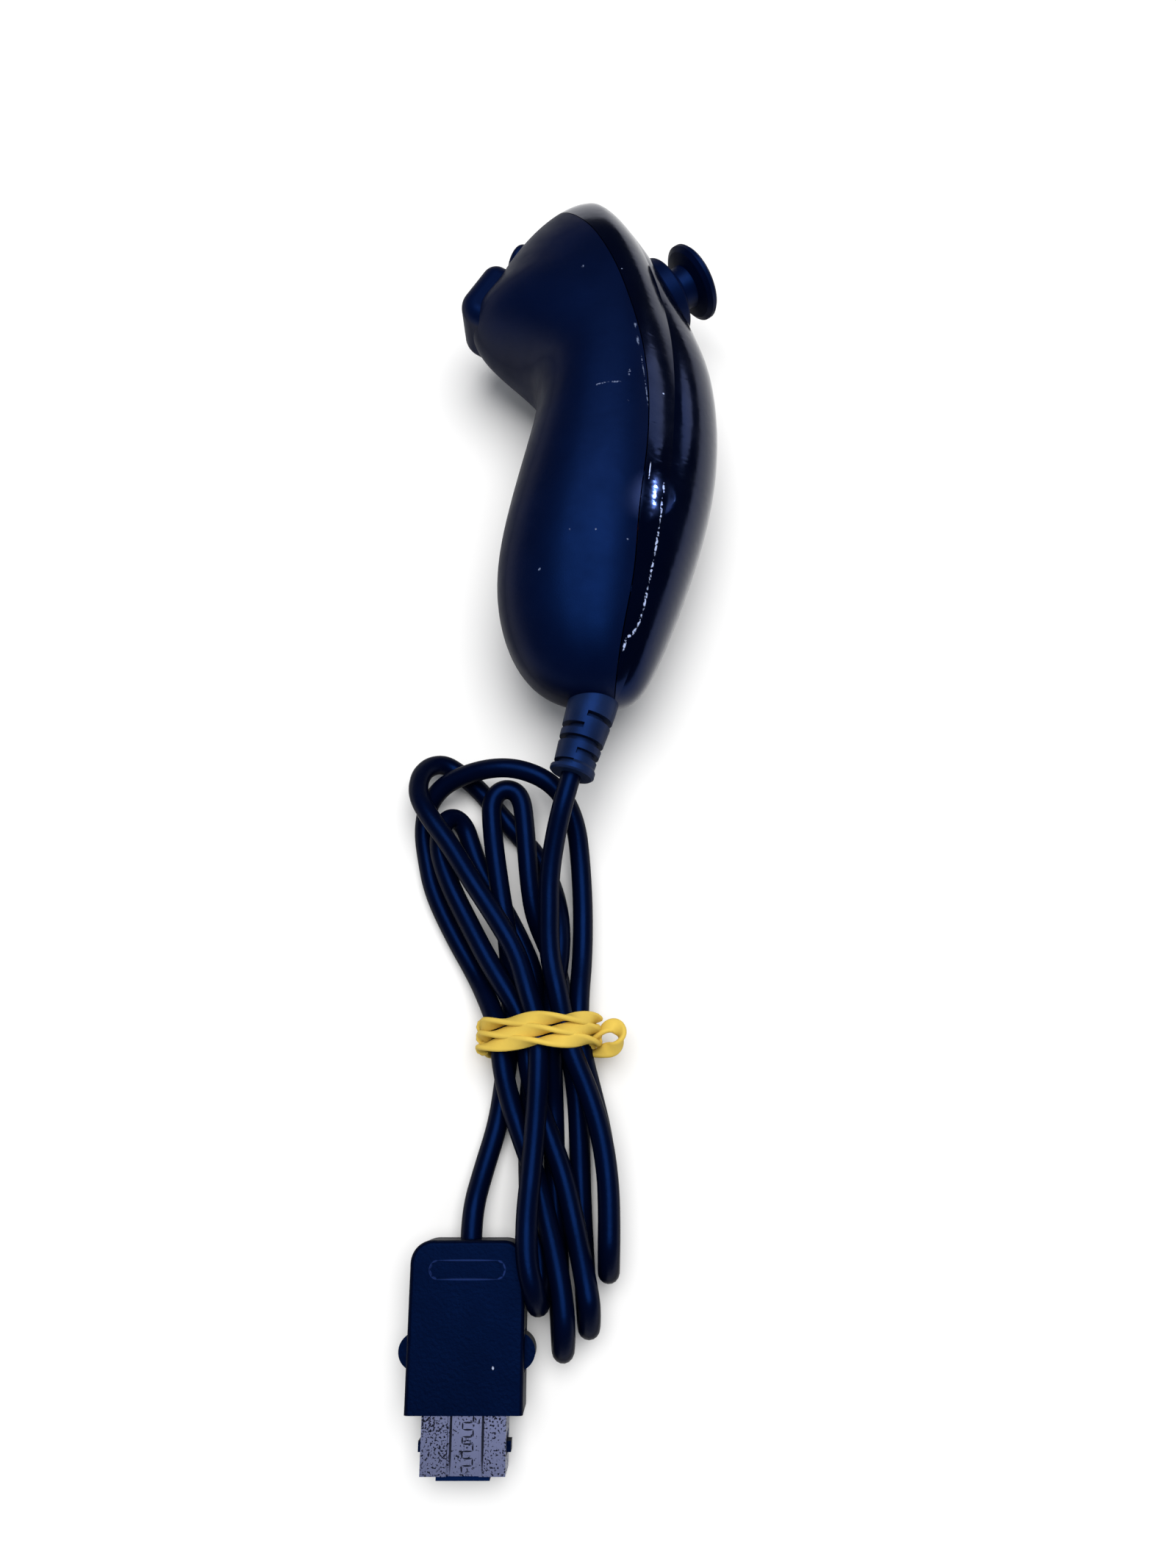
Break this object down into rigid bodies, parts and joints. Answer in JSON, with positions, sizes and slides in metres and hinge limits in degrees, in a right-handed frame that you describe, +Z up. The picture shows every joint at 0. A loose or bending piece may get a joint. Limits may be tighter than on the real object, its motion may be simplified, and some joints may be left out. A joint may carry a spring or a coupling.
{
  "type": "motion game controller",
  "caption": "One-handed motion game controller with a thumb stick, two front buttons, a cord folded in a banded hank and a latching plug.",
  "frame": {"origin": "below the middle of the controller without its cord, on the surface that it lies on", "axes": "+Y from the cord end towards the head, +X towards the thumb stick, +Z up from the surface"},
  "size_m": [0.0615, 0.241, 0.0382],
  "materials": {
    "casing_lower": "satin",
    "casing_upper": "gloss",
    "gate_plastic": "satin",
    "stick_plastic": "matte",
    "button_plastic": "gloss",
    "steel": "satin",
    "inner_plastic": "matte",
    "circuit_board": "satin",
    "component_black": "matte",
    "wire_cover": "satin",
    "relief_rubber": "matte",
    "cord_rubber": "satin",
    "band_rubber": "satin",
    "plug_plastic": "matte",
    "plug_steel": "satin",
    "contact_brass": "satin"
  },
  "bodies": {
    "casing": {"lower_shell": "casing_lower", "upper_shell": "casing_upper", "casing_screw_1": "steel", "casing_screw_2": "steel", "stick_ring": "gate_plastic", "stick_frame": "steel", "stick_base": "inner_plastic", "stick_seat": "inner_plastic", "stick_spring": "steel", "stick_sensor_rear": "inner_plastic", "stick_sensor_side": "inner_plastic", "main_board": "circuit_board", "board_screw_1": "steel", "board_screw_2": "steel", "board_screw_3": "steel", "processor_chip": "component_black", "motion_sensor": "component_black", "board_capacitors": "component_black", "cord_connector": "inner_plastic", "cord_wires": "wire_cover", "button_board": "circuit_board", "button_screw_1": "steel", "button_screw_2": "steel", "z_switch": "inner_plastic", "c_switch": "inner_plastic", "button_cable": "inner_plastic", "strain_relief": "relief_rubber", "cord_core": "cord_rubber", "cord_clamp": "inner_plastic", "cord_lead": "cord_rubber", "cord_hank": "cord_rubber", "cord_band": "band_rubber", "cord_tail": "cord_rubber", "plug_top_cover": "plug_plastic", "plug_bottom_cover": "plug_plastic", "plug_shell": "plug_steel", "plug_insert": "inner_plastic", "plug_contacts": "contact_brass", "plug_board": "circuit_board", "plug_latch_spring": "steel", "plug_cord_end": "cord_rubber", "plug_wires": "wire_cover"},
    "stick_rocker": {"stick_yoke": "inner_plastic"},
    "stick": {"stick_cap": "stick_plastic", "stick_shaft": "steel"},
    "stick_follower": {"stick_arch": "inner_plastic"},
    "upper_button": {"c_button": "button_plastic"},
    "lower_trigger": {"z_button": "button_plastic"},
    "latch_left": {"plug_latch_left": "plug_plastic"},
    "latch_right": {"plug_latch_right": "plug_plastic"}
  },
  "joints": [
    {"name": "stick_tilt_along", "type": "hinge", "parent": "casing", "child": "stick_rocker", "pos_m": [0.01157, 0.03278, 0.0191], "axis": [-0.5736, 0.8192, 0], "range_deg": [-14, 14], "stiffness_Nm_per_rad": 0.05},
    {"name": "stick_tilt_across", "type": "hinge", "parent": "stick_rocker", "child": "stick", "pos_m": [0.01157, 0.03278, 0.0191], "axis": [0, 0, 1], "range_deg": [-14, 14], "stiffness_Nm_per_rad": 0.05},
    {"name": "follower_tilt", "type": "hinge", "parent": "casing", "child": "stick_follower", "pos_m": [0.01157, 0.03278, 0.0191], "axis": [0, 0, 1], "range_deg": [-14.5, 14.5]},
    {"name": "upper_button_press", "type": "slide", "parent": "casing", "child": "upper_button", "axis": [0.8517, -0.524, 0], "range_m": [0, 0.0008], "stiffness_N_per_m": 400},
    {"name": "lower_trigger_press", "type": "slide", "parent": "casing", "child": "lower_trigger", "axis": [0.8517, -0.524, 0], "range_m": [0, 0.0015], "stiffness_N_per_m": 400},
    {"name": "latch_left_press", "type": "hinge", "parent": "casing", "child": "latch_left", "pos_m": [-0.0256, -0.1568, 0.00575], "axis": [0, 0, 1], "range_deg": [0, 2], "stiffness_Nm_per_rad": 0.2},
    {"name": "latch_right_press", "type": "hinge", "parent": "casing", "child": "latch_right", "pos_m": [-0.0142, -0.1568, 0.00575], "axis": [0, 0, 1], "range_deg": [-2, 0], "stiffness_Nm_per_rad": 0.2}
  ],
  "couplings": [
    {"joint": "follower_tilt", "follows": "stick_tilt_across", "ratio": 1}
  ]
}
